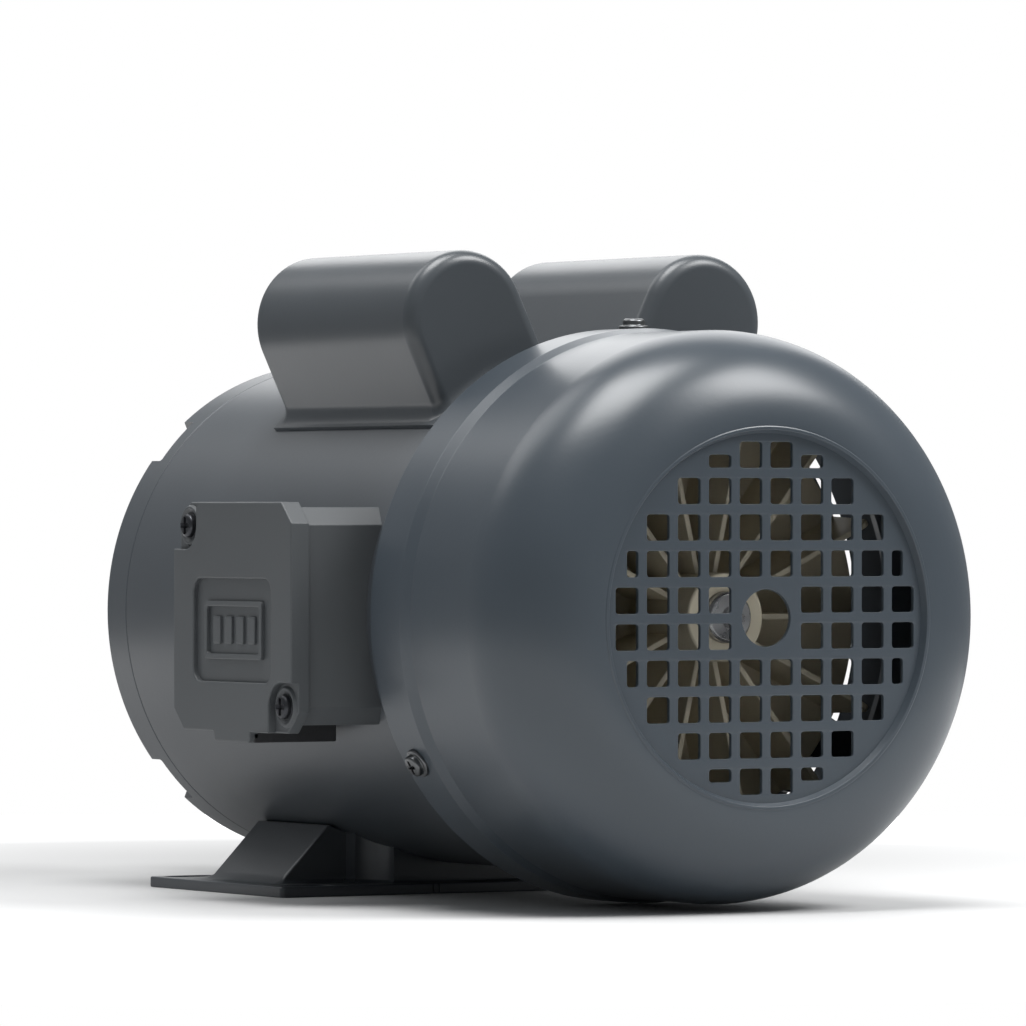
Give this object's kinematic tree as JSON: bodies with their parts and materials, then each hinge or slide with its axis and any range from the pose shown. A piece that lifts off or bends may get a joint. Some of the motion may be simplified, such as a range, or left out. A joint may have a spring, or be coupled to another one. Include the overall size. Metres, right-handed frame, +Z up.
{
  "type": "electric motor",
  "caption": "Foot-mounted, fan-cooled single-phase electric motor with a side terminal box, capacitor covers on top and a keyed shaft.",
  "frame": {"origin": "centre of the four base slots, on the mounting plane under the base", "axes": "+Y along the shaft towards its driven end, +Z up, so +X is to the right seen from the fan end"},
  "size_m": [0.1942, 0.3676, 0.2015],
  "materials": {
    "shell_paint": "satin",
    "base_paint": "satin",
    "cover_paint": "satin",
    "box_paint": "satin",
    "capacitor_cover_paint": "satin",
    "core_steel": "satin",
    "copper_wire": "gloss",
    "phenolic": "matte",
    "dark_steel": "satin",
    "bearing_steel": "gloss",
    "shaft_steel": "satin",
    "brass": "satin",
    "earth_green": "satin",
    "cast_aluminium": "satin",
    "fan_plastic": "satin",
    "black_rubber": "matte",
    "black_plastic": "satin",
    "lead_insulation": "gloss"
  },
  "bodies": {
    "frame": {"stator_shell": "shell_paint", "drive_endshield": "shell_paint", "fan_endshield": "shell_paint", "base_plate": "base_paint", "base_cradle": "base_paint", "fan_cover": "cover_paint", "terminal_box": "box_paint", "terminal_cover": "box_paint", "start_capacitor_cover": "capacitor_cover_paint", "run_capacitor_cover": "capacitor_cover_paint", "stator_core": "core_steel", "run_winding": "copper_wire", "start_winding": "copper_wire", "slot_wedges": "phenolic", "terminal_board": "phenolic", "switch_plate": "phenolic", "through_bolts": "dark_steel", "bolt_nuts": "dark_steel", "fan_cover_screws": "dark_steel", "terminal_cover_screws": "dark_steel", "capacitor_cover_screws": "dark_steel", "switch_plate_screws": "dark_steel", "box_screws": "dark_steel", "drive_bearing_circlip": "dark_steel", "wave_washer": "dark_steel", "drive_bearing_shields": "dark_steel", "fan_bearing_shields": "dark_steel", "drive_bearing_outer": "bearing_steel", "fan_bearing_outer": "bearing_steel", "switch_contacts": "brass", "terminal_studs": "brass", "terminal_nuts": "brass", "terminal_links": "brass", "capacitor_terminals": "brass", "earth_screw": "earth_green", "run_capacitor": "cast_aluminium", "terminal_gasket": "black_rubber", "lead_grommet": "black_rubber", "capacitor_pads": "black_rubber", "start_capacitor": "black_plastic", "entry_block": "black_plastic", "motor_leads": "lead_insulation"},
    "rotor": {"shaft": "shaft_steel", "rotor_core": "core_steel", "rotor_cage": "cast_aluminium", "drive_bearing_inner": "bearing_steel", "fan_bearing_inner": "bearing_steel", "fan": "fan_plastic", "fan_clip": "dark_steel", "shaft_slinger": "black_rubber", "governor_carrier": "shaft_steel", "governor_pins": "dark_steel", "governor_spring": "shaft_steel"},
    "drive_balls": {"drive_bearing_balls": "brass"},
    "fan_balls": {"fan_bearing_balls": "brass"},
    "spool": {"governor_spool": "black_plastic"},
    "weight_a": {"flyweight_a": "dark_steel"},
    "weight_b": {"flyweight_b": "dark_steel"},
    "arm": {"switch_arm": "brass"}
  },
  "joints": [
    {"name": "rotor_spin", "type": "hinge", "parent": "frame", "child": "rotor", "pos_m": [0, 0, 0.0889], "axis": [0, 1, 0], "continuous": true},
    {"name": "drive_balls_spin", "type": "hinge", "parent": "frame", "child": "drive_balls", "pos_m": [0, 0.086, 0.0889], "axis": [0, 1, 0], "continuous": true},
    {"name": "fan_balls_spin", "type": "hinge", "parent": "frame", "child": "fan_balls", "pos_m": [0, -0.124, 0.0889], "axis": [0, 1, 0], "continuous": true},
    {"name": "spool_slide", "type": "slide", "parent": "rotor", "child": "spool", "axis": [0, 1, 0], "range_m": [0, 0.003], "stiffness_N_per_m": 300, "springref_m": -0.004, "deforming": ["governor_spring"]},
    {"name": "weight_a_swing", "type": "hinge", "parent": "rotor", "child": "weight_a", "pos_m": [0.025, -0.088, 0.0889], "axis": [0, 0, 1], "range_deg": [-22, 0]},
    {"name": "weight_b_swing", "type": "hinge", "parent": "rotor", "child": "weight_b", "pos_m": [-0.025, -0.088, 0.0889], "axis": [0, 0, 1], "range_deg": [0, 22]},
    {"name": "arm_swing", "type": "hinge", "parent": "frame", "child": "arm", "pos_m": [-0.034, -0.107, 0.0889], "axis": [0, 0, 1], "range_deg": [0, 5.5]}
  ],
  "couplings": [
    {"joint": "drive_balls_spin", "follows": "rotor_spin", "ratio": 0.3816},
    {"joint": "fan_balls_spin", "follows": "rotor_spin", "ratio": 0.3816},
    {"joint": "weight_a_swing", "follows": "spool_slide", "rad_per_m": -122.2},
    {"joint": "weight_b_swing", "follows": "spool_slide", "rad_per_m": 122.2},
    {"joint": "arm_swing", "follows": "spool_slide", "rad_per_m": 29.4}
  ]
}
